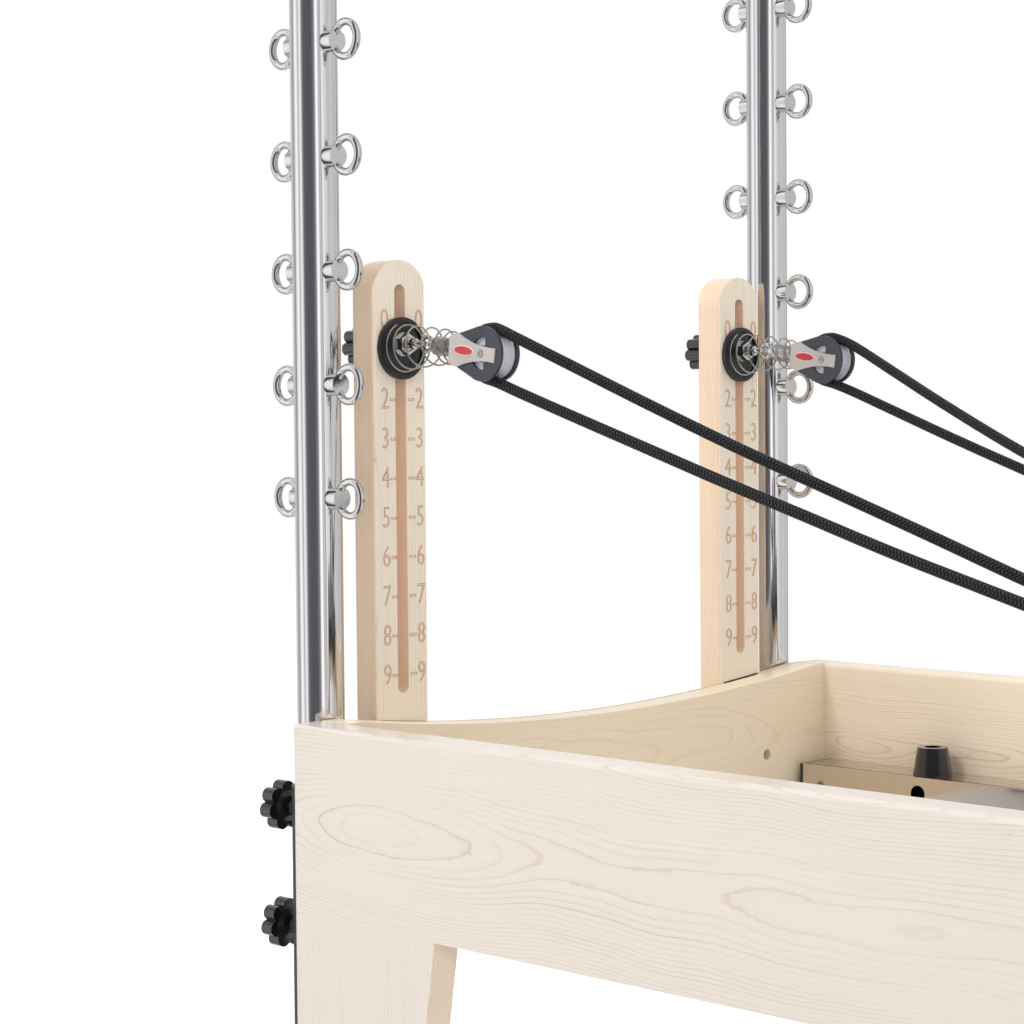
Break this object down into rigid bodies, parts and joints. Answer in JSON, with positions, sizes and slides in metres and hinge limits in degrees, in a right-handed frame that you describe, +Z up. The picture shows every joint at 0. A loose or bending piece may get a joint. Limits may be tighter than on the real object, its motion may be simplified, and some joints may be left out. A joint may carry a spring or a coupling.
{
  "type": "pilates tower unit",
  "caption": "Wooden pilates reformer bed with a tall ringed steel tower, slotted pulley risers with ropes, a sprung wheeled carriage and a folding footbar.",
  "frame": {"origin": "on the floor, under the middle of the overall box", "axes": "+X from the head end with the tower to the foot end, +Y from the near side to the far side, +Z up"},
  "size_m": [2.3856, 0.74, 1.9],
  "materials": {
    "maple": "clear-coated maple, satin gloss",
    "chrome": "polished chrome plate",
    "bright_steel": "zinc-bright steel",
    "spring_steel": "drawn spring wire",
    "socket_paint": "satin dark slate powder coat",
    "black_plastic": "moulded, semi-gloss",
    "track_aluminium": "satin anodised extrusion",
    "black_rubber": "matt moulded rubber",
    "slate_plastic": "moulded, fine grain",
    "plate_grey": "satin grey-beige lacquer",
    "sheave_plastic": "turned pale lilac-grey nylon",
    "black_rope": "braided polyester",
    "birch_board": "sealed birch plywood",
    "carriage_steel": "satin grey paint",
    "upholstery": "soft charcoal vinyl",
    "wheel_plastic": "polyurethane"
  },
  "bodies": {
    "frame": {"near_side_rail": "maple", "far_side_rail": "maple", "head_panel": "maple", "foot_panel": "maple", "head_legs": "maple", "foot_legs": "maple", "leg_feet": "black_rubber", "frame_dowels": "maple", "near_track": "track_aluminium", "far_track": "track_aluminium", "track_end_caps": "black_plastic", "track_stops": "black_rubber", "near_tower_socket": "socket_paint", "far_tower_socket": "socket_paint", "frame_screws": "bright_steel", "near_riser": "maple", "far_riser": "maple", "riser_bolts": "bright_steel", "near_upright": "chrome", "far_upright": "chrome", "tower_crossbar": "chrome", "near_eyebolts": "bright_steel", "far_eyebolts": "bright_steel", "spring_bar": "carriage_steel", "footbar_brackets": "bright_steel", "near_rope": "black_rope", "far_rope": "black_rope", "carriage_springs": "spring_steel"},
    "near_upper_clamp": {"near_upper_clamp_knob": "black_plastic"},
    "near_lower_clamp": {"near_lower_clamp_knob": "black_plastic"},
    "far_upper_clamp": {"far_upper_clamp_knob": "black_plastic"},
    "far_lower_clamp": {"far_lower_clamp_knob": "black_plastic"},
    "near_carrier": {"near_guide_disc": "black_plastic", "near_pulley_stud": "bright_steel", "near_cone_spring": "spring_steel"},
    "near_height_clamp": {"near_height_knob": "black_plastic"},
    "near_link": {"near_swivel_link": "bright_steel"},
    "near_block": {"near_pulley_block": "slate_plastic", "near_cheek_plate": "plate_grey"},
    "near_sheave_body": {"near_sheave": "sheave_plastic"},
    "far_carrier": {"far_guide_disc": "black_plastic", "far_pulley_stud": "bright_steel", "far_cone_spring": "spring_steel"},
    "far_height_clamp": {"far_height_knob": "black_plastic"},
    "far_link": {"far_swivel_link": "bright_steel"},
    "far_block": {"far_pulley_block": "slate_plastic", "far_cheek_plate": "plate_grey"},
    "far_sheave_body": {"far_sheave": "sheave_plastic"},
    "carriage": {"carriage_frame": "birch_board", "carriage_pad": "upholstery", "carriage_posts": "carriage_steel", "shoulder_pads": "upholstery", "near_hand_loop": "black_rope", "far_hand_loop": "black_rope"},
    "head_wheelset": {"head_wheels": "wheel_plastic"},
    "foot_wheelset": {"foot_wheels": "wheel_plastic"},
    "headrest_body": {"headrest": "upholstery", "headrest_board": "carriage_steel"},
    "footbar_body": {"footbar": "chrome", "footbar_grip": "black_rubber"}
  },
  "joints": [
    {"name": "near_upper_clamp_turn", "type": "hinge", "parent": "frame", "child": "near_upper_clamp", "pos_m": [-1.18185, -0.3155, 0.315], "axis": [1, 0, 0], "range_deg": [0, 720]},
    {"name": "near_lower_clamp_turn", "type": "hinge", "parent": "frame", "child": "near_lower_clamp", "pos_m": [-1.18185, -0.3155, 0.208], "axis": [1, 0, 0], "range_deg": [0, 720]},
    {"name": "far_upper_clamp_turn", "type": "hinge", "parent": "frame", "child": "far_upper_clamp", "pos_m": [-1.18185, 0.3155, 0.315], "axis": [1, 0, 0], "range_deg": [0, 720]},
    {"name": "far_lower_clamp_turn", "type": "hinge", "parent": "frame", "child": "far_lower_clamp", "pos_m": [-1.18185, 0.3155, 0.208], "axis": [1, 0, 0], "range_deg": [0, 720]},
    {"name": "near_pulley_height", "type": "slide", "parent": "frame", "child": "near_carrier", "axis": [0, 0, 1], "range_m": [-0.307, 0.046], "deforming": ["near_rope"]},
    {"name": "near_height_knob_turn", "type": "hinge", "parent": "near_carrier", "child": "near_height_clamp", "pos_m": [-1.14715, -0.2385, 0.731], "axis": [1, 0, 0], "range_deg": [0, 720]},
    {"name": "near_link_nod", "type": "hinge", "parent": "near_carrier", "child": "near_link", "pos_m": [-1.07169, -0.2385, 0.73046], "axis": [0, 1, 0], "range_deg": [-6, 8], "stiffness_Nm_per_rad": 12, "springref_deg": -0.8, "deforming": ["near_rope", "near_cone_spring"]},
    {"name": "near_block_swivel", "type": "hinge", "parent": "near_link", "child": "near_block", "pos_m": [-1.07575, -0.2385, 0.731], "axis": [0.9914, 0, -0.1305], "range_deg": [-20, 20], "stiffness_Nm_per_rad": 0.5, "deforming": ["near_rope", "near_cone_spring"]},
    {"name": "near_sheave_spin", "type": "hinge", "parent": "near_block", "child": "near_sheave_body", "pos_m": [-0.99049, -0.2385, 0.71977], "axis": [0, 1, 0], "continuous": true},
    {"name": "far_pulley_height", "type": "slide", "parent": "frame", "child": "far_carrier", "axis": [0, 0, 1], "range_m": [-0.307, 0.046], "deforming": ["far_rope"]},
    {"name": "far_height_knob_turn", "type": "hinge", "parent": "far_carrier", "child": "far_height_clamp", "pos_m": [-1.14715, 0.2385, 0.731], "axis": [1, 0, 0], "range_deg": [0, 720]},
    {"name": "far_link_nod", "type": "hinge", "parent": "far_carrier", "child": "far_link", "pos_m": [-1.07169, 0.2385, 0.73046], "axis": [0, 1, 0], "range_deg": [-6, 8], "stiffness_Nm_per_rad": 12, "springref_deg": -0.8, "deforming": ["far_rope", "far_cone_spring"]},
    {"name": "far_block_swivel", "type": "hinge", "parent": "far_link", "child": "far_block", "pos_m": [-1.07575, 0.2385, 0.731], "axis": [0.9914, 0, -0.1305], "range_deg": [-20, 20], "stiffness_Nm_per_rad": 0.5, "deforming": ["far_rope", "far_cone_spring"]},
    {"name": "far_sheave_spin", "type": "hinge", "parent": "far_block", "child": "far_sheave_body", "pos_m": [-0.99049, 0.2385, 0.71977], "axis": [0, 1, 0], "continuous": true},
    {"name": "carriage_travel", "type": "slide", "parent": "frame", "child": "carriage", "axis": [-1, 0, 0], "range_m": [-0.24, 0.545], "deforming": ["near_rope", "far_rope", "carriage_springs"]},
    {"name": "head_wheels_roll", "type": "hinge", "parent": "carriage", "child": "head_wheelset", "pos_m": [-0.32715, 0, 0.325], "axis": [0, 1, 0], "range_deg": [-1260, 560]},
    {"name": "foot_wheels_roll", "type": "hinge", "parent": "carriage", "child": "foot_wheelset", "pos_m": [0.45285, 0, 0.325], "axis": [0, 1, 0], "range_deg": [-1260, 560]},
    {"name": "headrest_tilt", "type": "hinge", "parent": "carriage", "child": "headrest_body", "pos_m": [-0.28815, 0, 0.3783], "axis": [0, 1, 0], "range_deg": [0, 20]},
    {"name": "footbar_pivot", "type": "hinge", "parent": "frame", "child": "footbar_body", "pos_m": [0.92785, 0, 0.35], "axis": [0, 1, 0], "range_deg": [-20, 50]}
  ],
  "couplings": [
    {"joint": "head_wheels_roll", "follows": "carriage_travel", "rad_per_m": -40},
    {"joint": "foot_wheels_roll", "follows": "carriage_travel", "rad_per_m": -40}
  ]
}
